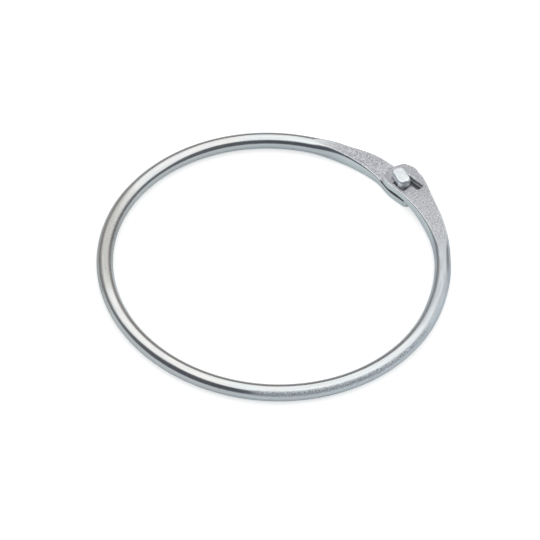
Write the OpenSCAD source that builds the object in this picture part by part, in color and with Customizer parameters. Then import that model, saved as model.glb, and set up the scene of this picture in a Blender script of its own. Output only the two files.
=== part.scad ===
// Janitor key ring: one length of round wire bent to a hoop, its two ends forged
// flat and laid one on the other. A hook riveted to the lower end comes up through
// an L-shaped slot in the upper end and lies back over it.
//
// The origin is the hoop's centre at mid-wire height, +Z is up and +X runs
// through the lock. Lengths along the wire are counted from the lock line (+X).

/* [Hoop] */
// Diameter across the outside of the wire hoop
hoop_od = 101.6; // [80:0.2:130]
// Diameter of the round wire
wire_d = 4.76; // [4.2:0.02:6]

/* [Forged ends] */
// Length from the lock line to the first mark of the forging die
forge_l = 30.4; // [28:0.2:40]
// Length from the lock line to where the end starts to thin
ramp_l = 26.8; // [20:0.2:28]
// Length of full flatness on the wire side of the lock line
seat_l = 5.9; // [5.8:0.1:8]
// Length from the lock line to the widest place
lobe_at = 2.1; // [1:0.1:3]
// Extra growth of the outer edges at the lobe round the lock
lobe_out = 1.7; // [0.5:0.05:2.5]
// Depth that the die sinks below the round of the wire
die_bite = 0.08; // [0.04:0.01:0.3]
// Gap between the two flat ends
seam_gap = 0.14; // [0.06:0.02:0.4]
// Length from the lock line to the foremost point of an end
tip_reach = 6.8; // [6:0.1:6.9]
// Radius of the arc that trims an end
tip_r = 8.55; // [8:0.05:14]

/* [Upper end] */
// Growth of the outer edge along the fan
fan_w = 2.55; // [1.5:0.05:3.5]
// Length from the lock line to where the fan starts
fan_l = 29.6; // [24:0.2:30]
// Growth of the inner edge
fan_in = 1.68; // [0.8:0.02:2.2]
// Length from the lock line to where the inner edge starts to grow
fan_in_l = 23.7; // [16:0.1:28]
// How far the end springs outwards from the hoop's circle
spring_out = 0.7; // [0.2:0.05:1]
// Length from the lock line to where it starts to spring out
spring_l = 49; // [42:0.5:56]

/* [Lower end] */
// Growth of the outer edge at the shoulder
shoulder_w = 2.1; // [1.4:0.05:2.6]
// Length from the lock line to where the shoulder starts
shoulder_l = 21.5; // [18:0.1:26]
// Growth of the inner edge at the lobe
lobe_in = 1.12; // [0.6:0.02:2]
// Length that this end stops short of the upper one's mirror image
slip = 1; // [0.6:0.05:1.6]

/* [Slot] */
// Length of the wide part of the slot, along the wire
slot_l = 4.4; // [4:0.1:5]
// Width of the wide part of the slot, across the wire
slot_w = 5.76; // [4.8:0.02:6.2]
// Length that the narrow part adds
notch_l = 2.7; // [1.5:0.1:3]
// Width of the narrow part
notch_w = 2.55; // [1.8:0.05:3]
// Turn of the slot from the wire's direction, in degrees
slot_turn = 7.5; // [0:0.5:12]
// Radius of the slot's corners
slot_corner = 0.5; // [0.2:0.05:0.8]

/* [Hook] */
// Length of the hook's head
head_l = 6.3; // [5.6:0.1:7]
// Width of the head
head_w = 3.9; // [3:0.1:4.4]
// Thickness of the head
head_t = 2.23; // [1.6:0.01:3]
// Gap between the head and the flat end below it
head_gap = 0.2; // [0.1:0.05:0.5]
// Length that the head stands past its neck at the heel
heel = 0.22; // [0.1:0.02:0.4]
// Radius where the head rolls over at its heel
heel_r = 1.1; // [0.5:0.05:1.5]
// Radius of the head's corners, seen from above
head_corner = 1.15; // [0.5:0.05:1.4]
// Radius of the head's upper side edges
head_edge = 0.45; // [0.2:0.05:0.8]
// Width of the neck
neck_w = 2.7; // [2.2:0.1:3]
// Thickness of the neck, along the wire
neck_t = 2.2; // [1.8:0.1:2.4]
// Clear space between the neck and the slot's corner
neck_gap = 0.2; // [0.1:0.02:0.4]
// Turn of the hook from the wire's direction, in degrees
hook_turn = 14; // [8:0.5:18]

/* [Rivet] */
// Diameter of the rivet shank below the neck
rivet_d = 1.9; // [1.4:0.05:2]
// Diameter of the peened foot at the underside
foot_d = 3.4; // [2.6:0.1:4]
// Height of the foot's cone
foot_h = 0.75; // [0.4:0.05:1]

/* [Hidden] */
$fn = 64;

wire_r = wire_d / 2;
hoop_r = (hoop_od - wire_d) / 2;
end_top = wire_r - die_bite;
end_under = seam_gap / 2;
fan_power = 1.15;
fan_in_power = 1.8;
shoulder_run = 11.5;
spring_run = 27;
lobe_in_l = 8.4;
lobe_in_at = -0.3;
lobe_out_l = 13.5;
nose_l = 8.8;
lock_in = 0.15;
slot_back = 0.2;
neck_corner = 0.4;

// Sides of the forged sections: 2 + side_power is a superellipse near a square, and
// the swell lets the die cut the rounded side off earlier
side_power = 6;
side_swell = 0.25;
side_rate = 2.6;
side_slack = 1.004;
side_points = 12;
bite_run = forge_l / 3;

loft_past = 1.2;
loft_step = 1;
lap_l = 0.5;
lap_sink = 0.9;
lap_swell = 1.012;
cut_over = 1;

// Middle of the lock, a little inwards of the wide end's own middle
lock_r = hoop_r + spring_out + (fan_w + lobe_out - fan_in) / 2 - lock_in;

// The slot's own frame has its origin at the lock's middle. Its x runs along the
// slot to the narrow part and its y runs outwards.
slot_x0 = -slot_l / 2 - slot_back;
slot_y1 = 2.1;
slot_x1 = slot_x0 + slot_l;
slot_y0 = slot_y1 - slot_w;

// The turned neck fills the corner between the slot's inner edge and its step
neck_turn = slot_turn + hook_turn;
neck_reach_x = (neck_t * cos(neck_turn) + neck_w * sin(neck_turn)) / 2;
neck_reach_y = (neck_t * sin(neck_turn) + neck_w * cos(neck_turn)) / 2;
neck_x = slot_x1 - neck_gap - neck_reach_x;
neck_y = slot_y0 + neck_gap + neck_reach_y;

head_under = end_top + head_gap;
head_top = head_under + head_t;

function ease(x) = let (c = min(1, max(0, x))) c * c * (3 - 2 * c);
function bell(x) = abs(x) < 1 ? pow(cos(90 * x), 2) : 0;
function arc_angle(s) = s / hoop_r * 180 / PI;

// Growth of the outer and inner edges beyond the round wire at arc length s
function fan(s, w, l, power) = w * pow(max(0, (s + l) / (lobe_at + l)), power);
function nose(s) = bell((s - lobe_at) / nose_l);
function root_out(s, upper) = upper
    ? fan(s, fan_w, fan_l, fan_power)
    : shoulder_w * ease((s + shoulder_l) / shoulder_run);
function grow_out(s, upper) = s < lobe_at
    ? root_out(s, upper) + lobe_out * bell((s - lobe_at) / lobe_out_l)
    : ((upper ? fan_w : shoulder_w) + lobe_out) * nose(s);
function grow_in(s, upper) = !upper
    ? lobe_in * bell((s - lobe_in_at) / lobe_in_l)
    : s < lobe_at ? fan(s, fan_in, fan_in_l, fan_in_power) : fan_in * nose(s);

// How far the wire's middle lies outwards of the hoop's circle
function sprung(s, upper) = upper ? spring_out * ease((s + spring_l) / spring_run) : 0;

// How far the forging has gone at s: 0 on the round wire, 1 where it is flat
function forged(s) = min(1, max(0, (s + forge_l) / forge_l));
function thinned(s) = 1 - sin(90 * min(1, max(0, -(s + seat_l) / (ramp_l - seat_l))));
function bitten(s) = ease((s + forge_l) / bite_run);

// One cross-section as [outwards, up] points, from the outer upper crease round
// below to the inner upper crease. The sides are superellipses that square up
// towards the lock, cut flat above and below by the die.
function section(s, upper) =
    let (
        top = wire_r - die_bite * bitten(s),
        under = -wire_r + (wire_r + end_under) * thinned(s),
        half_h = (top - under) / 2,
        mid_z = (top + under) / 2,
        outer = wire_r + grow_out(s, upper),
        inner = wire_r + grow_in(s, upper),
        half_w = (outer + inner) / 2,
        mid_x = (outer - inner) / 2,
        power = 2 + side_power * pow(forged(s), 2),
        bulge = half_h * (side_slack + side_swell * sin(90 * min(1, side_rate * forged(s)))),
        heights = [for (j = [0:side_points]) half_h * cos(180 * j / side_points)],
        reach = [for (z = heights) half_w * pow(1 - pow(abs(z) / bulge, power), 1 / power)]
    )
    concat(
        [for (j = [0:side_points]) [mid_x + reach[j], mid_z + heights[j]]],
        [for (j = [side_points:-1:0]) [mid_x - reach[j], mid_z + heights[j]]]
    );

// A forged end with its tip towards +Y, lofted from inside the round wire to past
// its tip. The first ring lies inside the wire and the second just clears it.
module forged_blank(upper) {
    start = upper ? -spring_l : -forge_l;
    round_ring = section(start, upper);
    rings = concat(
        [[for (p = round_ring) concat(lap_sink * p, start - lap_l)]],
        [[for (p = round_ring) concat(lap_swell * p, start)]],
        [for (s = [start + loft_step:loft_step:tip_reach + loft_past])
            [for (p = section(s, upper)) [p[0] + sprung(s, upper), p[1], s]]]
    );
    sides = len(round_ring);
    last = len(rings) - 1;
    points = [for (ring = rings, p = ring)
        let (a = arc_angle(p[2])) [(hoop_r + p[0]) * cos(a), (hoop_r + p[0]) * sin(a), p[1]]];
    walls = [for (i = [0:last - 1], j = [0:sides - 1])
        let (a = i * sides + j, b = i * sides + (j + 1) % sides)
        each [[a, a + sides, b + sides], [a, b + sides, b]]];
    first_cap = [[for (j = [0:sides - 1]) j]];
    last_cap = [[for (j = [sides - 1:-1:0]) last * sides + j]];
    polyhedron(points, concat(first_cap, walls, last_cap), convexity = 6);
}

// Everything past the arc that trims the tip
module tip_trim() {
    block = 4 * tip_r;
    difference() {
        translate([lock_r - block / 2, 0, -wire_d]) cube([block, block, 2 * wire_d]);
        translate([lock_r, tip_reach - tip_r, -wire_d - cut_over])
            cylinder(r = tip_r, h = 2 * (wire_d + cut_over), $fn = 128);
    }
}

module forged_end(upper) {
    difference() {
        forged_blank(upper);
        tip_trim();
    }
}

// Rectangle with rounded corners, from its lower corner
module rounded_box(size, r, h) {
    linear_extrude(height = h) union() {
        translate([r, 0]) square([size[0] - 2 * r, size[1]]);
        translate([0, r]) square([size[0], size[1] - 2 * r]);
        for (x = [r, size[0] - r], y = [r, size[1] - r]) translate([x, y]) circle(r = r);
    }
}

// Puts a shape drawn in the slot's frame at the lock
module at_lock(turn) {
    translate([lock_r, 0, 0]) rotate([0, 0, turn - 90]) children();
}

module slot_cut() {
    depth = wire_d;
    at_lock(slot_turn) {
        translate([slot_x0, slot_y0, 0]) rounded_box([slot_l, slot_w], slot_corner, depth);
        translate([slot_x0, slot_y1 - notch_w, 0])
            rounded_box([slot_l + notch_l, notch_w], slot_corner, depth);
    }
}

// Puts a shape drawn in the hook's frame at the neck. Its x runs from the tip of
// the head to its heel.
module at_neck() {
    at_lock(slot_turn) translate([neck_x, neck_y, 0]) rotate([0, 0, -neck_turn]) children();
}

module rivet(extra) {
    translate([0, 0, -wire_d]) cylinder(d = rivet_d + extra, h = wire_d);
    translate([0, 0, -end_top]) cylinder(d1 = foot_d + extra, d2 = rivet_d + extra, h = foot_h);
    translate([0, 0, -wire_d]) cylinder(d = foot_d + extra, h = wire_d - end_top);
}

module hoop() {
    color("#b9bdc0") {
        start = arc_angle(forge_l + slip);
        rotate([0, 0, start]) rotate_extrude(angle = 360 - start - arc_angle(spring_l), $fn = 180)
            translate([hoop_r, 0]) circle(d = wire_d);
        difference() {
            forged_end(true);
            slot_cut();
        }
        difference() {
            rotate([180, 0, 0]) rotate([0, 0, -arc_angle(slip)]) forged_end(false);
            at_neck() rivet(0);
        }
    }
}

// Side profile of the head, extruded across it: flat top, rolled over at the heel
module head_side() {
    back = neck_t / 2 + heel;
    translate([0, head_w, head_under]) rotate([90, 0, 0]) linear_extrude(height = 2 * head_w) union() {
        translate([back - head_l, 0]) square([head_l - heel_r, head_t]);
        translate([back - head_l, 0]) square([head_l, head_t - heel_r]);
        translate([back - heel_r, head_t - heel_r]) circle(r = heel_r);
    }
}

// Front profile of the head, extruded along it: rounded upper edges
module head_front() {
    translate([-2 * head_l, 0, head_under]) rotate([90, 0, 90]) linear_extrude(height = 4 * head_l) union() {
        translate([-head_w / 2, 0]) square([head_w, head_t - head_edge]);
        translate([-head_w / 2 + head_edge, 0]) square([head_w - 2 * head_edge, head_t]);
        for (x = [-1, 1]) translate([x * (head_w / 2 - head_edge), head_t - head_edge]) circle(r = head_edge);
    }
}

module head_plan() {
    back = neck_t / 2 + heel;
    translate([back - head_l, -head_w / 2, 0]) rounded_box([head_l, head_w], head_corner, head_top + cut_over);
}

module hook() {
    color("#e9ecec") at_neck() {
        intersection() {
            head_plan();
            head_side();
            head_front();
        }
        translate([-neck_t / 2, -neck_w / 2, -end_under])
            rounded_box([neck_t, neck_w], neck_corner, head_under + end_under + head_t / 2);
        intersection() {
            rivet(0);
            translate([-foot_d, -foot_d, -end_top]) cube([2 * foot_d, 2 * foot_d, end_top]);
        }
    }
}

hoop();
hook();
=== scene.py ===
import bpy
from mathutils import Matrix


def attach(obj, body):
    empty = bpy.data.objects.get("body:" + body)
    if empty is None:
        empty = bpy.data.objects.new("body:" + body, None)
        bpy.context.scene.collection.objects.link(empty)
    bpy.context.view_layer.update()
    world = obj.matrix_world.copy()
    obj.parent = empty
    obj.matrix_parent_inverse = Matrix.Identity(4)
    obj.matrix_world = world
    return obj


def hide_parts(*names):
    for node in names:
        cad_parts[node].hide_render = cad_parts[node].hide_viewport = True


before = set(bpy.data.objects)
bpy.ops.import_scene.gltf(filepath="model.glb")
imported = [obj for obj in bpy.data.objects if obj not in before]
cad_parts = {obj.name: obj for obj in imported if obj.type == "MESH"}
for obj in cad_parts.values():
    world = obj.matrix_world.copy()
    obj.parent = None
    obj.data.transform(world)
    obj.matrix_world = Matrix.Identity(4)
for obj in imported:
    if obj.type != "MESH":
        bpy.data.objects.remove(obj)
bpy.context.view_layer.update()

from math import cos, pi, radians, sin, sqrt

import bmesh
import bpy
from mathutils import Matrix, Vector

mm = 0.001


# A socket that can be used in plain arithmetic, in shader and geometry trees alike
class Flow:
    def __init__(self, graph, socket):
        self.graph = graph
        self.socket = socket

    def calc(self, operation, *others):
        inputs = dict(enumerate((self, *others)))
        return self.graph.add("ShaderNodeMath", {"operation": operation}, inputs)

    def back(self, operation, first):
        return self.graph.add("ShaderNodeMath", {"operation": operation}, {0: first, 1: self})

    def __add__(self, other): return self.calc("ADD", other)
    def __radd__(self, other): return self.back("ADD", other)
    def __sub__(self, other): return self.calc("SUBTRACT", other)
    def __rsub__(self, other): return self.back("SUBTRACT", other)
    def __mul__(self, other): return self.calc("MULTIPLY", other)
    def __rmul__(self, other): return self.back("MULTIPLY", other)
    def __truediv__(self, other): return self.calc("DIVIDE", other)
    def __rtruediv__(self, other): return self.back("DIVIDE", other)
    def __pow__(self, other): return self.calc("POWER", other)
    def __neg__(self): return self.calc("MULTIPLY", -1)
    def __abs__(self): return self.calc("ABSOLUTE")
    def __gt__(self, other): return self.calc("GREATER_THAN", other)
    def __lt__(self, other): return self.calc("LESS_THAN", other)

    def least(self, other): return self.calc("MINIMUM", other)
    def most(self, other): return self.calc("MAXIMUM", other)
    def held(self): return self.most(0).least(1)
    def sine(self): return self.calc("SINE")
    def cosine(self): return self.calc("COSINE")
    def root(self): return self.calc("SQRT")


class Graph:
    def __init__(self, tree):
        self.tree = tree

    def add(self, kind, settings=None, inputs=None, out=0):
        node = self.tree.nodes.new(kind)
        for name, setting in (settings or {}).items():
            if name == "stops":
                self.fillRamp(node.color_ramp, setting)
            else:
                setattr(node, name, setting)
        for name, item in (inputs or {}).items():
            self.feed(node.inputs[name], item)
        return Flow(self, node.outputs[out]) if node.outputs else None

    def fillRamp(self, ramp, stops):
        while len(ramp.elements) < len(stops):
            ramp.elements.new(1)
        for element, (place, colour) in zip(ramp.elements, stops):
            element.position = place
            element.color = (*colour, 1)

    def feed(self, socket, item):
        if isinstance(item, Flow):
            self.tree.links.new(item.socket, socket)
        else:
            socket.default_value = item


def blank(material):
    material.use_nodes = True
    material.node_tree.nodes.clear()
    return Graph(material.node_tree)


def mixed(graph, factor, first, second):
    def solid(colour): return (*colour, 1) if isinstance(colour, tuple) else colour
    return graph.add("ShaderNodeMix", {"data_type": "RGBA", "clamp_factor": True},
                     {0: factor, 6: solid(first), 7: solid(second)}, 2)


def parts(graph, vector, axes="XYZ"):
    return [graph.add("ShaderNodeSeparateXYZ", {}, {0: vector}, axis) for axis in axes]


def noise(graph, place, scale, detail):
    settings = {"Vector": place, "Scale": scale, "Detail": detail}
    return graph.add("ShaderNodeTexNoise", {}, settings, "Fac")


# Soft step from 0 to 1
def ease(x):
    t = x.held()
    return t * t * (3 - 2 * t)


# Soft hump that is 1 at 0 and falls to 0 at -1 and 1
def bell(x):
    return (abs(x).least(1) * (pi / 2)).cosine() ** 2


# One length of wire, from the tip of its lower forged end round to the tip of its upper one
hoopSizes = {
    "hoop radius": 48.42 * mm,
    "wire radius": 2.38 * mm,
    "forge length": 30.4 * mm,      # lengths run from the lock line back along the wire
    "ramp length": 26.8 * mm,
    "seat length": 5.9 * mm,
    "die bite": 0.08 * mm,
    "seam gap": 0.14 * mm,
    "widest at": 2.1 * mm,
    "lobe": 1.7 * mm,
    "lobe length": 13.5 * mm,
    "nose length": 8.8 * mm,
    "tip reach": 6.8 * mm,
    "tip radius": 8.55 * mm,
    "tip corner": 0.35 * mm,
    "outer corner": 0.06 * mm,
    "tip edge": 0.12 * mm,
    "tip groove": 0.5 * mm,
    "seam groove": 0.3 * mm,
    "groove length": 7.5 * mm,
    "lock radius": 50.255 * mm,
    "fan growth": 2.55 * mm,        # the upper end
    "fan length": 29.6 * mm,
    "fan power": 1.15,
    "inner growth": 1.68 * mm,
    "inner length": 23.7 * mm,
    "inner power": 1.8,
    "spring out": 0.7 * mm,
    "spring length": 49.0 * mm,
    "spring run": 27.0 * mm,
    "shoulder": 2.1 * mm,           # the lower end
    "shoulder length": 21.5 * mm,
    "shoulder run": 11.5 * mm,
    "inner lobe": 1.12 * mm,
    "inner lobe at": -0.3 * mm,
    "inner lobe length": 8.4 * mm,
    "slip": 1.0 * mm,
    "bend start": 3.0 * mm,         # where rows begin to bend towards the tip's arc
    "groove fade": 2.5 * mm,
    "flat power": 6.0,              # how square the forged section's sides are
    "die cut": 1.004,               # height of the uncut section over the cut one
    "die cut growth": 0.25,
    "die cut run": 2.6,
    "crease from": 0.8,             # share of the side's height
    "crease fade": 0.12,
    "crease reach": 8.0,            # one over its share of the flat's width
    "weld": 0.002 * mm,
    "rows": 640,
    "tip rows": 4,
    "flat points": 10,
    "side points": 18,
}


# Growth of the outer and inner edges and the shift of the wire's middle, at length s
def edgesAt(s, size, upper):
    past = s > size["widest at"]
    nose = bell((s - size["widest at"]) / size["nose length"])

    def fan(growth, length, power):
        share = ((s + size[length]) / (size["widest at"] + size[length])).most(0)
        return size[growth] * share.least(1) ** size[power]

    def blendEnds(lowerValue, upperValue):
        return lowerValue + (upperValue - lowerValue) * upper

    shoulder = size["shoulder"] * ease((s + size["shoulder length"]) / size["shoulder run"])
    lobe = size["lobe"] * bell((s - size["widest at"]) / size["lobe length"])
    before = blendEnds(shoulder, fan("fan growth", "fan length", "fan power")) + lobe
    after = (blendEnds(size["shoulder"], size["fan growth"]) + size["lobe"]) * nose
    outer = before + (after - before) * past

    upperBefore = fan("inner growth", "inner length", "inner power")
    upperInner = upperBefore + (size["inner growth"] * nose - upperBefore) * past
    lowerInner = size["inner lobe"] * bell((s - size["inner lobe at"]) / size["inner lobe length"])
    inner = blendEnds(lowerInner, upperInner)

    drift = size["spring out"] * ease((s + size["spring length"]) / size["spring run"]) * upper
    return outer, inner, drift


def hoopTree(sizes, material):
    tree = bpy.data.node_groups.new("sweptHoop", "GeometryNodeTree")
    graph = Graph(tree)
    for name, value in sizes.items():
        kind = "NodeSocketInt" if isinstance(value, int) else "NodeSocketFloat"
        tree.interface.new_socket(name=name, in_out="INPUT", socket_type=kind)
    tree.interface.new_socket(name="Geometry", in_out="OUTPUT", socket_type="NodeSocketGeometry")
    source = graph.add("NodeGroupInput").socket.node
    size = {name: Flow(graph, source.outputs[name]) for name in sizes}

    around = (size["flat points"] + size["side points"]) * 2
    grid = graph.add("GeometryNodeMeshGrid", {}, {
        "Size X": 1.0, "Size Y": 1.0,
        "Vertices X": size["rows"] + 1, "Vertices Y": around + 1})
    x, y = parts(graph, graph.add("GeometryNodeInputPosition"), "XY")
    along = x + 0.5
    turn = y + 0.5

    # Rows: a cap row, a few that round the edge of the tip, then the length of the wire
    upper = along > 0.5
    row = along * size["rows"]
    fromTip = row.least(size["rows"] - row)
    tipRows = size["tip rows"]
    roundOff = ((tipRows + 1 - fromTip) / tipRows).held() * (pi / 2)
    share = ((fromTip - 1 - tipRows) / (size["rows"] / 2 - 1 - tipRows)).held()
    length = size["tip reach"] + size["hoop radius"] * pi - size["slip"] * (1 - upper)
    spread = share * (0.5 + 0.5 * share)
    back = size["tip edge"] * (1 - roundOff.sine()) + (length - size["tip edge"]) * spread
    rowAt = size["tip reach"] - back
    inset = size["tip edge"] * (1 - roundOff.cosine())
    offCap = fromTip > 0.5

    # Round the section: top flat, outer side, bottom flat, inner side. The lower end
    # is the upper one turned over, so it goes round the other way.
    flatShare = size["flat points"] / (size["flat points"] + size["side points"])
    turned = turn + ((0.5 + flatShare / 2 - turn) - turn) * (1 - upper)
    turned = turned - turned.calc("FLOOR")
    half = turned > 0.49999
    sign = 1 - 2 * half
    within = (turned * 2 - half).held()
    onFlat = (within / flatShare).held()
    onSide = ((within - flatShare) / (1 - flatShare)).held()
    cross = ((onFlat * 2 - 1) * (pi / 2)).sine()
    rise = (onSide * pi).cosine()

    # The tip is trimmed to an arc, which the rows near it bend to follow
    arcBack = size["tip reach"] - size["tip radius"]
    arcFar = (size["lock radius"] ** 2 + arcBack ** 2).root()
    arcTurn = (arcBack / size["lock radius"]).calc("ARCTANGENT")
    bend = ease((rowAt + size["bend start"]) / (size["tip reach"] + size["bend start"]))
    s = rowAt
    for _ in range(3):
        outer, inner, drift = edgesAt(s, size, upper)
        halfWide = size["wire radius"] + (outer + inner) / 2
        offset = (outer - inner) / 2 + sign * cross * halfWide
        radius = size["hoop radius"] + drift + offset
        toArc = (radius ** 2 + arcFar ** 2 - size["tip radius"] ** 2) / (2 * radius * arcFar)
        arcAt = size["hoop radius"] * (arcTurn + toArc.calc("ARCCOSINE"))
        sharper = (size["outer corner"] - size["tip corner"]) * (sign * cross > 0)
        rounded = size["tip corner"] + sharper
        corner = ((abs(cross) * halfWide - halfWide) / rounded + 1).held()
        arcAt = arcAt - rounded * (1 - (1 - corner * corner).root())
        s = rowAt + bend * (arcAt - size["tip reach"])

    # The section itself: superellipse sides, cut flat above and below by the die
    outer, inner, drift = edgesAt(s, size, upper)
    forged = ((s + size["forge length"]) / size["forge length"]).held()
    bitten = ease((s + size["forge length"]) / (size["forge length"] / 3))
    off = (-(s + size["seat length"]) / (size["ramp length"] - size["seat length"])).held()
    thinned = 1 - (off * (pi / 2)).sine()
    top = size["wire radius"] - size["die bite"] * bitten
    under = (size["wire radius"] + size["seam gap"] / 2) * thinned - size["wire radius"]
    halfHigh = (top - under) / 2
    halfWide = size["wire radius"] + (outer + inner) / 2
    power = 2 + size["flat power"] * forged ** 2
    growth = ((forged * size["die cut run"]).least(1) * (pi / 2)).sine()
    swell = size["die cut"] + size["die cut growth"] * growth
    reach = (1 - (abs(rise) / swell) ** power).most(0) ** (1 / power)
    groove = 1 + (size["tip groove"] / size["tip edge"] - 1) * (sign * rise < 0)
    seam = ((-sign * rise - 0.8) / 0.2).held() ** 2
    seam = seam * ease((s + size["groove length"]) / size["groove fade"]) * offCap
    spare = halfWide - inset - size["seam groove"] * seam
    high = (top + under) / 2 + sign * rise * (halfHigh - inset * groove) * offCap
    wide = (outer - inner) / 2 + sign * cross * reach * spare

    way = 2 * upper - 1
    angle = way * (s - size["slip"] * (1 - upper)) / size["hoop radius"]
    radius = size["hoop radius"] + drift + wide
    moved = graph.add("ShaderNodeCombineXYZ", {}, {
        "X": radius * angle.cosine(), "Y": radius * angle.sine(), "Z": way * high})

    # The finish map: the pressed flats, and the creases along them, where a highlight is
    # painted. It reads the grid's own places, so it is stored before the grid is bent.
    inFlat = (onFlat > 0.01) * (onFlat < 0.99) * bitten * (fromTip > 1.5)
    creaseHighlight = ease((rise - size["crease from"]) / size["crease fade"])
    creaseHighlight = creaseHighlight * ease(1.03 - onFlat.least(1 - onFlat) * size["crease reach"]) * bitten
    finish = graph.add("ShaderNodeCombineXYZ", {}, {"X": inFlat, "Y": creaseHighlight})
    onCorners = {"data_type": "FLOAT2", "domain": "CORNER"}
    shape = graph.add("GeometryNodeStoreNamedAttribute", onCorners, {
        "Geometry": grid, "Name": "finish", "Value": finish})
    shape = graph.add("GeometryNodeSetPosition", {}, {"Geometry": shape, "Position": moved})
    shape = graph.add("GeometryNodeFlipFaces", {}, {"Mesh": shape})   # the bent grid faces inwards
    shape = graph.add("GeometryNodeMergeByDistance", {}, {
        "Geometry": shape, "Distance": size["weld"]})
    shape = graph.add("GeometryNodeSetShadeSmooth", {}, {"Geometry": shape})
    shape = graph.add("GeometryNodeRealizeInstances", {}, {"Geometry": shape})
    shape = graph.add("GeometryNodeSetMaterial", {}, {"Geometry": shape, "Material": material})
    graph.add("NodeGroupOutput", {}, {0: shape})
    return tree


def addObject(name, mesh):
    item = bpy.data.objects.new(name, mesh)
    bpy.context.scene.collection.objects.link(item)
    return item


# Turns what an object's modifiers make into a plain mesh on it
def settle(item):
    bpy.context.view_layer.update()
    finished = item.evaluated_get(bpy.context.evaluated_depsgraph_get())
    done = bpy.data.meshes.new_from_object(finished)
    item.modifiers.clear()
    item.data = done
    done.name = item.name


# Two-dimensional outline of a right-angled path with rounded corners, grown by some length
def roundedPath(corners, grow=0.0, steps=8):
    points = []
    for i, (x, y, radius) in enumerate(corners):
        before, after = corners[i - 1], corners[(i + 1) % len(corners)]
        enter = Vector((x - before[0], y - before[1])).normalized()
        leave = Vector((after[0] - x, after[1] - y)).normalized()
        outward = Vector((enter.y, -enter.x)) + Vector((leave.y, -leave.x))
        convex = enter.x * leave.y - enter.y * leave.x > 0
        size = radius + (grow if convex else -grow)
        corner = Vector((x, y)) + outward * grow
        middle = corner + (leave - enter) * size
        for step in range(steps + 1):
            a = step / steps * pi / 2
            points.append(middle + (enter * sin(a) - leave * cos(a)) * size)
    return points


# A closed solid through a stack of outlines, given as (height, points)
def stackSolid(name, levels, place):
    mesh = bmesh.new()
    rings = []
    for z, points in levels:
        rings.append([mesh.verts.new(place @ Vector((p.x, p.y, z))) for p in points])
    for low, high in zip(rings, rings[1:]):
        for i in range(len(low)):
            j = (i + 1) % len(low)
            mesh.faces.new((low[i], low[j], high[j], high[i]))
    mesh.faces.new(reversed(rings[0]))
    mesh.faces.new(rings[-1])
    bmesh.ops.recalc_face_normals(mesh, faces=mesh.faces)
    data = bpy.data.meshes.new(name)
    mesh.to_mesh(data)
    mesh.free()
    return addObject(name, data)


def boolean(item, other, operation):
    cut = item.modifiers.new("boolean", "BOOLEAN")
    cut.operation = operation
    cut.solver = "EXACT"
    cut.object = other
    settle(item)
    bpy.data.objects.remove(other)


def dress(item, material):
    item.data.materials.clear()
    item.data.materials.append(material)


def smoothShade(item, sharpAngle=50):
    item.data.shade_smooth()
    item.data.set_sharp_from_angle(angle=radians(sharpAngle))
    weighted = item.modifiers.new("weighted", "WEIGHTED_NORMAL")
    weighted.mode = "FACE_AREA"
    weighted.weight = 60
    weighted.keep_sharp = True
    settle(item)


# The lock: an L-shaped slot through the upper end
lock = {
    "radius": 50.255 * mm,
    "slotTurn": 7.5,
    "slotLength": 4.4 * mm,
    "slotWidth": 5.76 * mm,
    "slotStart": -2.4 * mm,
    "slotOutside": 2.1 * mm,
    "notchLength": 2.7 * mm,
    "notchWidth": 2.55 * mm,
    "corner": 0.5 * mm,
    "innerCorner": 0.2 * mm,
    "rim": 0.1 * mm,
    "rimTurn": 82,
    "rimSteps": 5,
    "top": 2.3 * mm,
    "over": 1.0 * mm,       # how far a cutter stands past the face that it cuts
    "hookTurn": 14.0,
    "neckWidth": 2.7 * mm,
    "neckThick": 2.2 * mm,
    "neckGap": 0.2 * mm,
}


def atLock(turn):
    return Matrix.Translation((lock["radius"], 0, 0)) @ Matrix.Rotation(radians(turn - 90), 4, "Z")


def atNeck():
    turn = radians(lock["slotTurn"] + lock["hookTurn"])
    reachX = (lock["neckThick"] * cos(turn) + lock["neckWidth"] * sin(turn)) / 2
    reachY = (lock["neckThick"] * sin(turn) + lock["neckWidth"] * cos(turn)) / 2
    x = lock["slotStart"] + lock["slotLength"] - lock["neckGap"] - reachX
    y = lock["slotOutside"] - lock["slotWidth"] + lock["neckGap"] + reachY
    return atLock(lock["slotTurn"]) @ Matrix.Translation((x, y, 0)) @ Matrix.Rotation(-turn, 4, "Z")


def slotCutter():
    x0, y1 = lock["slotStart"], lock["slotOutside"]
    x1, y0 = x0 + lock["slotLength"], y1 - lock["slotWidth"]
    x2, step = x1 + lock["notchLength"], y1 - lock["notchWidth"]
    r, rim = lock["corner"], lock["rim"]
    corners = [(x0, y0, r), (x1, y0, r), (x1, step, lock["innerCorner"]),
               (x2, step, r), (x2, y1, r), (x0, y1, r)]
    levels = [(0, roundedPath(corners))]
    for i in range(lock["rimSteps"] + 1):
        a = i / lock["rimSteps"] * radians(lock["rimTurn"])
        high = lock["top"] - rim + rim * sin(a) / sin(radians(lock["rimTurn"]))
        levels.append((high, roundedPath(corners, rim * (1 - cos(a)))))
    mouthHigh, mouth = levels.pop()
    levels.append((mouthHigh + 0.002 * mm, mouth))    # a hair above the flat, not level with it
    levels.append((lock["top"] + lock["over"], mouth))
    return stackSolid("slotCutter", levels, atLock(lock["slotTurn"]))


# The rivet in the lower end: a straight shank and a foot spread in a countersink
rivet = {
    "shank": 0.95 * mm,
    "foot": 1.7 * mm,
    "footHigh": 0.75 * mm,
    "gap": 0.03 * mm,
    "proud": 0.04 * mm,
    "crown": 0.3 * mm,
    "edge": 0.06 * mm,
    "edgeHigh": 0.02 * mm,
    "sides": 64,
}


def circle(radius):
    turns = [i / rivet["sides"] * 2 * pi for i in range(rivet["sides"])]
    return [Vector((radius * cos(turn), radius * sin(turn))) for turn in turns]


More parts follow.
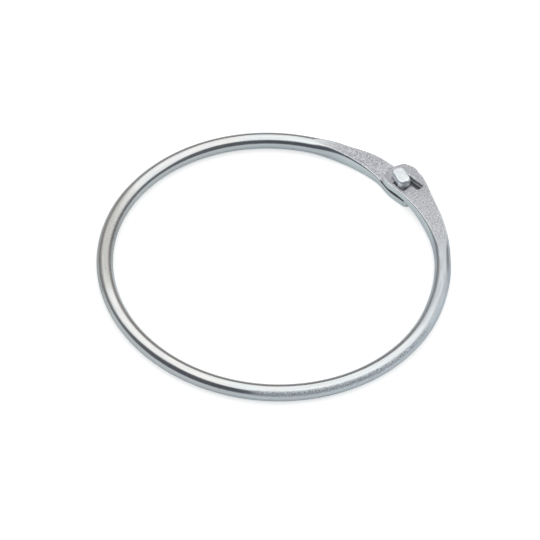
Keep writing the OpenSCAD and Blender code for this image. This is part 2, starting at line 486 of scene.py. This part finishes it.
def rivetHole():
    low = -lock["top"]
    shank, foot = circle(rivet["shank"] + rivet["gap"]), circle(rivet["foot"] + rivet["gap"])
    levels = [(low - lock["over"], foot), (low, foot), (low + rivet["footHigh"], shank), (0, shank)]
    return stackSolid("rivetHole", levels, atNeck())


# Zinc plating: drawn streaks along the wire, frosted where it has been handled, and dull,
# mottled faces where the die has pressed it. Painted light and shade are mixed into its
# colour: a painted sheen on the frosted front, painted shade on the right side, painted
# highlights along the creases, and painted shade in the slot and in the seam between the
# ends, with a painted lit band across the slot's walls
plating = {
    "cool": (0.58, 0.61, 0.63),
    "neutral": (0.61, 0.61, 0.605),
    "streakedAndShaded": (0.42, 0.45, 0.485),
    "tarnish": (0.41, 0.41, 0.40),
    "frostedSheen": (0.83, 0.88, 0.92),
    "pitted": (0.36, 0.37, 0.39),
    "pressed": (0.66, 0.67, 0.70),
    "pressedDark": (0.28, 0.285, 0.32),
    "paintedHighlight": (0.93, 0.95, 0.95),
    "sheared": (0.74, 0.77, 0.77),
    "slotShadeColour": (0.18, 0.185, 0.20),
    "slotLitBand": (0.76, 0.77, 0.79),
    "seamShade": (0.03, 0.03, 0.035),
    "frostSheenAt": (-0.035, -0.999),    # directions from the middle of the hoop
    "tarnishAt": (-0.707, 0.707),
    "wornShadedAt": (0.7536, -0.6574),
    "wireRough": 0.2,
    "frostRough": 0.4,
    "wornRough": 0.12,
    "pressedRough": 0.5,
    "streakLong": 110,              # sizes of the patterns, in noise cells per metre
    "streakFine": 2600,
    "speckFine": 2600.0,
    "blotchFine": 1800.0,
    "cloudFine": 90.0,
    "slotShadeReach": 0.15 * mm,        # past the slot's walls
    "slotShadeTop": 2.22 * mm,
    "slotShadeFade": 0.25 * mm,
    "slotShadeBottom": -0.3 * mm,
    "slotLitBandAt": 0.9 * mm,            # the painted lit band across the slot's walls
    "slotLitBandHalf": 0.8 * mm,
    "shearedTo": 27 * mm,
    "shearedFade": 9 * mm,
    "seamEnd": 5.4 * mm,
    "seamInside": 2.4 * mm,         # how much further it runs on the inner side
    "seamHigh": 0.36 * mm,
    "seamTaper": 1.6 * mm,
    "seamSoft": 0.14 * mm,
}


def hoopMetal():
    material = bpy.data.materials.new("wirePlating")
    graph = blank(material)
    place = graph.add("ShaderNodeTexCoord", {}, {}, "Object")
    x, y, z = parts(graph, place)
    flat, creaseHighlight = parts(graph, graph.add("ShaderNodeUVMap", {"uv_map": "finish"}), "XY")

    # Streaks run along the wire; the length is mirrored so that they meet at the back
    out = (x * x + y * y).root() - hoopSizes["hoop radius"]
    along = abs(y.calc("ARCTAN2", x)) * hoopSizes["hoop radius"]
    streakAt = graph.add("ShaderNodeCombineXYZ", {}, {
        0: along * plating["streakLong"],
        1: out * plating["streakFine"],
        2: z * plating["streakFine"]})
    streak = ease((noise(graph, streakAt, 1.0, 3.0) - 0.35) * 3)
    speck = ease((noise(graph, place, plating["speckFine"], 3.0) - 0.36) * 3.6)
    blotch = ease((noise(graph, place, plating["blotchFine"], 2.0) - 0.38) * 4)
    cloud = noise(graph, place, plating["cloudFine"], 3.0)

    # Handling has frosted the front, worn the right side and dulled the left. The front's
    # lighter colour is partly a painted sheen, and the right side's darker colour is partly painted
    # shade
    def toward(way): return (x * way[0] + y * way[1]) / hoopSizes["hoop radius"]

    outerFlank = bell((out / hoopSizes["wire radius"] - 0.72) / 0.42) * (z > 0)
    frostSheen = ease((toward(plating["frostSheenAt"]) - 0.62) * 5 + (cloud - 0.5) * 2) * outerFlank
    right = toward(plating["wornShadedAt"])
    wornAndShaded = ease((right - 0.8) * 6 + (cloud - 0.5))
    tarnish = ease((toward(plating["tarnishAt"]) - 0.87) * 8 + (cloud - 0.5) * 1.5)

    # The slot's walls and floor: painted shade, with a painted lit band across the walls
    inSlot = graph.add("ShaderNodeMapping", {"vector_type": "TEXTURE"}, {
        "Vector": place,
        "Location": (lock["radius"], 0, 0),
        "Rotation": (0, 0, radians(lock["slotTurn"] - 90))})
    slotX, slotY = parts(graph, inSlot, "XY")
    reach = plating["slotShadeReach"]
    slotEnd = lock["slotStart"] + lock["slotLength"] + lock["notchLength"]
    slotShade = (slotX > lock["slotStart"] - reach) * (slotX < slotEnd + reach)
    slotShade = slotShade * (slotY > lock["slotOutside"] - lock["slotWidth"] - reach)
    slotShade = slotShade * (slotY < lock["slotOutside"] + reach)
    slotShade = slotShade * ease((plating["slotShadeTop"] - z) / plating["slotShadeFade"])
    slotShade = slotShade * (z > plating["slotShadeBottom"])
    slotLitBand = bell((z - plating["slotLitBandAt"]) / plating["slotLitBandHalf"])

    # The forged ends' sides, and painted shade in the seam between the ends
    sheared = ease((plating["shearedTo"] - along) / plating["shearedFade"]) * (1 - flat)
    seamEnd = plating["seamEnd"] + (out < 0) * plating["seamInside"]
    seamHigh = plating["seamHigh"] * ease((seamEnd - along) / plating["seamTaper"])
    seamShade = ease((seamHigh - abs(z)) / plating["seamSoft"]) * (1 - flat)

    tint = ease((cloud - 0.5) * 3 + 0.5 - right * 0.6)
    wire = mixed(graph, tint, plating["cool"], plating["neutral"])
    # real drawn streaks, darkened further on the right side as painted shade
    streaksAndShade = (1 - streak) * (0.25 + wornAndShaded * 0.3) + wornAndShaded * 0.35
    wire = mixed(graph, streaksAndShade, wire, plating["streakedAndShaded"])
    wire = mixed(graph, tarnish * (1.05 - speck * 0.45), wire, plating["tarnish"])
    # a painted sheen on the frosted front, over its real frosting
    wire = mixed(graph, frostSheen, wire, plating["frostedSheen"])
    pits = (1 - speck) * frostSheen * ease(1.3 - wornAndShaded) * 0.8
    wire = mixed(graph, pits, wire, plating["pitted"])
    wire = mixed(graph, sheared * 0.7, wire, plating["sheared"])

    dark = (1 - blotch) * 0.38 + (1 - speck) * 0.55 + (0.5 - cloud) * 0.6
    dark = dark + ease((y + 12 * mm) / (14 * mm)) * 0.12      # the lower end is a little duller
    pressed = mixed(graph, dark, plating["pressed"], plating["pressedDark"])

    colour = mixed(graph, flat, wire, pressed)
    # a painted highlight along the creases
    colour = mixed(graph, creaseHighlight * 0.6, colour, plating["paintedHighlight"])
    # painted shade in the slot, with a painted lit band across its walls
    slotShaded = mixed(graph, slotLitBand, plating["slotShadeColour"], plating["slotLitBand"])
    colour = mixed(graph, slotShade * 0.9, colour, slotShaded)
    # painted shade in the seam between the ends
    colour = mixed(graph, seamShade * 0.95, colour, plating["seamShade"])

    rough = plating["wireRough"] + plating["frostRough"] * frostSheen
    rough = rough + plating["wornRough"] * wornAndShaded.most(tarnish) + (0.5 - streak) * 0.08
    rough = rough + flat.most(slotShade) * (plating["pressedRough"] - rough)
    relief = speck * flat.most(frostSheen) + streak * (1 - flat) * 0.3
    bump = graph.add("ShaderNodeBump", {}, {
        "Strength": 0.35, "Distance": 0.02 * mm, "Height": relief}, "Normal")
    metal = graph.add("ShaderNodeBsdfPrincipled", {}, {
        "Base Color": colour, "Metallic": 1 - slotShade * 0.9, "Roughness": rough, "Normal": bump})
    graph.add("ShaderNodeOutputMaterial", {}, {"Surface": metal})
    return material


def makeHoop():
    material = hoopMetal()
    hoop = addObject("wire_hoop", bpy.data.meshes.new("wire_hoop"))
    tree = hoopTree(hoopSizes, material)
    modifier = hoop.modifiers.new("sweptHoop", "NODES")
    modifier.node_group = tree
    for item in tree.interface.items_tree:
        if item.item_type == "SOCKET" and item.in_out == "INPUT":
            modifier[item.identifier] = hoopSizes[item.name]
    settle(hoop)
    boolean(hoop, slotCutter(), "DIFFERENCE")
    boolean(hoop, rivetHole(), "DIFFERENCE")
    dress(hoop, material)       # the walls that were cut take it too
    smoothShade(hoop)
    return hoop


# The hook: a head that lies over the upper end, a neck through the slot and a riveted foot
hookSizes = {
    "length": 6.3 * mm,
    "width": 3.9 * mm,
    "thick": 2.23 * mm,
    "under": 2.5 * mm,
    "heel": 0.22 * mm,
    "heelRound": 1.1 * mm,
    "sideRound": 0.5 * mm,
    "tipRound": 0.5 * mm,
    "underRound": 0.15 * mm,
    "corner": 1.3 * mm,
    "leastCorner": 0.3 * mm,
    "neckCorner": 0.4 * mm,
    "neckFrom": -0.07 * mm,
    "neckInto": 1.0 * mm,       # how far the neck runs up inside the head
}


# How far a rounded edge of some radius has drawn in, at some depth below the face
def rounding(depth, radius):
    near = max(0.0, 1 - depth / radius)
    return radius * (1 - sqrt(max(0.0, 1 - near * near)))


def headOutline(depth, below):
    h = hookSizes
    heelX = lock["neckThick"] / 2 + h["heel"] - rounding(depth, h["heelRound"])
    tipX = lock["neckThick"] / 2 + h["heel"] - h["length"] + rounding(depth, h["tipRound"])
    side = h["width"] / 2 - rounding(depth, h["sideRound"])
    small = rounding(below, h["underRound"])
    heelX, tipX, side = heelX - small, tipX + small, side - small
    r = max(h["leastCorner"], h["corner"] - rounding(depth, h["sideRound"]))
    corners = [(tipX, -side, r), (heelX, -side, r), (heelX, side, r), (tipX, side, r)]
    return roundedPath(corners, steps=10)


# The hook's plating: painted light on the head's sides, and painted shade, duller, below the head
hookPlating = {
    "grey": (0.63, 0.67, 0.70),
    "pale": (0.76, 0.79, 0.82),
    # painted light on the head's sides
    "litSides": (0.95, 0.97, 0.99),
    "shaded": (0.42, 0.43, 0.46),
    "litSidesUnder": 4.3 * mm,
    "litSidesFade": 0.8 * mm,
    "shadedUnder": 2.55 * mm,
    "shadedFade": 0.3 * mm,
    "grainFine": 900.0,
    "rough": 0.32,
    "grainRough": 0.12,
}


def hookMetal():
    material = bpy.data.materials.new("hookPlating")
    graph = blank(material)
    place = graph.add("ShaderNodeTexCoord", {}, {}, "Object")
    z, = parts(graph, place, "Z")
    grain = noise(graph, place, hookPlating["grainFine"], 3.0)
    # painted light on the head's sides, painted shade below the head
    litSides = ease((hookPlating["litSidesUnder"] - z) / hookPlating["litSidesFade"])
    shaded = ease((hookPlating["shadedUnder"] - z) / hookPlating["shadedFade"])
    colour = mixed(graph, ease((grain - 0.35) * 3), hookPlating["grey"], hookPlating["pale"])
    colour = mixed(graph, litSides * 0.8, colour, hookPlating["litSides"])
    colour = mixed(graph, shaded * 0.75, colour, hookPlating["shaded"])
    rough = hookPlating["rough"] + grain * hookPlating["grainRough"]
    metal = graph.add("ShaderNodeBsdfPrincipled", {}, {
        "Base Color": colour, "Metallic": 1 - shaded * 0.5, "Roughness": rough})
    graph.add("ShaderNodeOutputMaterial", {}, {"Surface": metal})
    return material


def makeHook():
    h = hookSizes
    # Depths below the top where the head's outline is taken, closer where it rounds over
    underside = [h["thick"] - up for up in (0, 0.04 * mm, 0.09 * mm, h["underRound"])]
    sides = [h["thick"] * (1 - i / 8) for i in range(4)]
    heel = [h["heelRound"] * (1 - sin(i / 12 * pi / 2)) for i in range(12)]
    clear = h["thick"] - 0.2 * mm
    upper = [depth for depth in sides + heel + [0.0] if depth < clear]
    depths = sorted({*underside, *upper}, reverse=True)
    levels = [(h["under"] + h["thick"] - d, headOutline(d, h["thick"] - d)) for d in depths]
    hook = stackSolid("lock_hook", levels, atNeck())

    w, t, r = lock["neckWidth"] / 2, lock["neckThick"] / 2, h["neckCorner"]
    section = roundedPath([(-t, -w, r), (t, -w, r), (t, w, r), (-t, w, r)])
    levels = [(h["neckFrom"], section), (h["under"] + h["neckInto"], section)]
    boolean(hook, stackSolid("neck", levels, atNeck()), "UNION")

    low, shank = -lock["top"], circle(rivet["shank"])
    levels = [(low - rivet["proud"], circle(rivet["foot"] - rivet["crown"])),
              (low - rivet["edgeHigh"], circle(rivet["foot"] - rivet["edge"])),
              (low, circle(rivet["foot"])),
              (low + rivet["footHigh"], shank),
              (0, shank)]
    boolean(hook, stackSolid("foot", levels, atNeck()), "UNION")
    dress(hook, hookMetal())
    smoothShade(hook)
    return hook


hoop = makeHoop()
print("hoop", len(hoop.data.polygons), "faces")
hook = makeHook()
print("hook", len(hook.data.polygons), "faces")

for piece, node, finish in ((hoop, "hoop", "wire_plating"), (hook, "hook", "hook_plating")):
    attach(piece, "root")
    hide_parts(node)


# The light: an even white world, and a tent seen only in reflections, with a soft box
# overhead and walls that are darkest on the camera's side
studio = {
    "radius": 2.0,
    "front": (-0.6574, -0.7536, 0.0),
    "right": (0.7536, -0.6574, 0.0),
    "softbox": (1.50, 1.50, 1.47),
    "boxEdge": (1.18, 1.22, 1.24),
    "boxStart": 0.45,           # sine of the height where the box begins
    "boxFull": 0.56,
    "frontDrop": 0.32,          # how far the box is cut back in front and behind
    "frontFade": 0.3,
    "frontSkew": 0.15,
    "backDrop": 0.15,
    "backHalf": 0.4,
    "edgeFrom": 0.5,
    "edgeFade": 0.4,
    "walls": [                  # colours round the tent, from the front by the left and back
        (0.0, (0.11, 0.12, 0.14)),
        (0.17, (0.12, 0.13, 0.15)),
        (0.28, (0.24, 0.25, 0.26)),
        (0.40, (0.36, 0.33, 0.32)),
        (0.50, (0.31, 0.27, 0.26)),
        (0.60, (0.37, 0.35, 0.34)),
        (0.75, (0.17, 0.19, 0.21)),
        (1.0, (0.11, 0.12, 0.14))],
    "floorAt": -2.38 * mm,
    "floorSize": 3.0,
    "paper": (0.80, 0.80, 0.80),
    "lift": (0.46, 0.46, 0.46),     # what whitens the floor for the camera
    "mirrored": (0.0, 0.05, 0.07),  # and for what the metal mirrors
}


def makeWorld():
    world = bpy.data.worlds.new("studio")
    bpy.context.scene.world = world
    graph = blank(world)
    light = graph.add("ShaderNodeBackground", {}, {"Color": (1, 1, 1, 1), "Strength": 1.0})
    graph.add("ShaderNodeOutputWorld", {}, {"Surface": light})


def makeTent():
    mesh = bmesh.new()
    bmesh.ops.create_uvsphere(mesh, u_segments=64, v_segments=32, radius=studio["radius"])
    data = bpy.data.meshes.new("tent")
    mesh.to_mesh(data)
    mesh.free()
    tent = addObject("tent", data)
    material = bpy.data.materials.new("tentCloth")
    graph = blank(material)
    place = graph.add("ShaderNodeTexCoord", {}, {}, "Object")
    way = graph.add("ShaderNodeVectorMath", {"operation": "NORMALIZE"}, {0: place}, "Vector")
    up, = parts(graph, way, "Z")

    def along(direction):
        return graph.add("ShaderNodeVectorMath", {"operation": "DOT_PRODUCT"}, {
            0: way, 1: direction}, "Value")

    front, side = along(studio["front"]), along(studio["right"])
    height = up - studio["frontDrop"] * ease(
        (front - side * studio["frontSkew"]) / studio["frontFade"])
    height = height - studio["backDrop"] * bell(side / studio["backHalf"]) * (front < 0)
    inBox = ease((height - studio["boxStart"]) / (studio["boxFull"] - studio["boxStart"]))
    toEdge = ease((abs(side) - studio["edgeFrom"]) / studio["edgeFade"])
    box = mixed(graph, toEdge, studio["softbox"], studio["boxEdge"])
    turn = side.calc("ARCTAN2", -front) / (2 * pi) + 0.5
    wall = graph.add("ShaderNodeValToRGB", {"stops": studio["walls"]}, {"Fac": turn})
    cloth = graph.add("ShaderNodeEmission", {}, {"Color": mixed(graph, inBox, wall, box)})
    graph.add("ShaderNodeOutputMaterial", {}, {"Surface": cloth})
    data.materials.append(material)
    for ray in ("camera", "diffuse", "transmission", "volume_scatter", "shadow"):
        setattr(tent, "visible_" + ray, False)


def makeFloor():
    size, level = studio["floorSize"], studio["floorAt"]
    mesh = bpy.data.meshes.new("floor")
    corners = [(x * size, y * size, level) for x, y in ((-1, -1), (1, -1), (1, 1), (-1, 1))]
    mesh.from_pydata(corners, [], [(0, 1, 2, 3)])
    floor = addObject("floor", mesh)
    material = bpy.data.materials.new("paper")
    graph = blank(material)
    camera, glossy, through = [
        graph.add("ShaderNodeLightPath", {}, {}, "Is " + ray + " Ray")
        for ray in ("Camera", "Glossy", "Transmission")]
    lift = mixed(graph, camera, studio["mirrored"], studio["lift"])
    paper = graph.add("ShaderNodeBsdfDiffuse", {}, {"Color": (*studio["paper"], 1)})
    seen = (camera + glossy + through).least(1)
    lifted = graph.add("ShaderNodeEmission", {}, {"Color": lift, "Strength": seen})
    both = graph.add("ShaderNodeAddShader", {}, {0: paper, 1: lifted})
    graph.add("ShaderNodeOutputMaterial", {}, {"Surface": both})
    mesh.materials.append(material)


view = {
    "azimuth": 41.1,        # from the lock line to the camera's right
    "elevation": 48.368,
    "roll": 3.5327,
    "distance": 833.77 * mm,
    "lens": 193.18,
    "sensor": 36,
    "shift": (-0.00616, -0.01524),
    "clip": (0.01, 20),
}


def makeCamera():
    data = bpy.data.cameras.new("camera")
    data.sensor_width = view["sensor"]
    data.lens = view["lens"]
    data.shift_x, data.shift_y = view["shift"]
    data.clip_start, data.clip_end = view["clip"]
    camera = addObject("camera", data)
    e, a = radians(view["elevation"]), radians(-view["azimuth"])
    back = Matrix.Rotation(a, 3, "Z") @ Vector((0, -cos(e), sin(e)))
    place = Matrix.Translation(back * view["distance"])
    turn = back.to_track_quat("Z", "Y").to_matrix().to_4x4()
    roll = Matrix.Rotation(radians(view["roll"]), 4, "Z")
    camera.matrix_world = place @ turn @ roll
    bpy.context.scene.camera = camera


makeWorld()
makeTent()
makeFloor()
print("light, tent and floor")
makeCamera()
bpy.context.scene.view_settings.view_transform = "Standard"
print("camera")
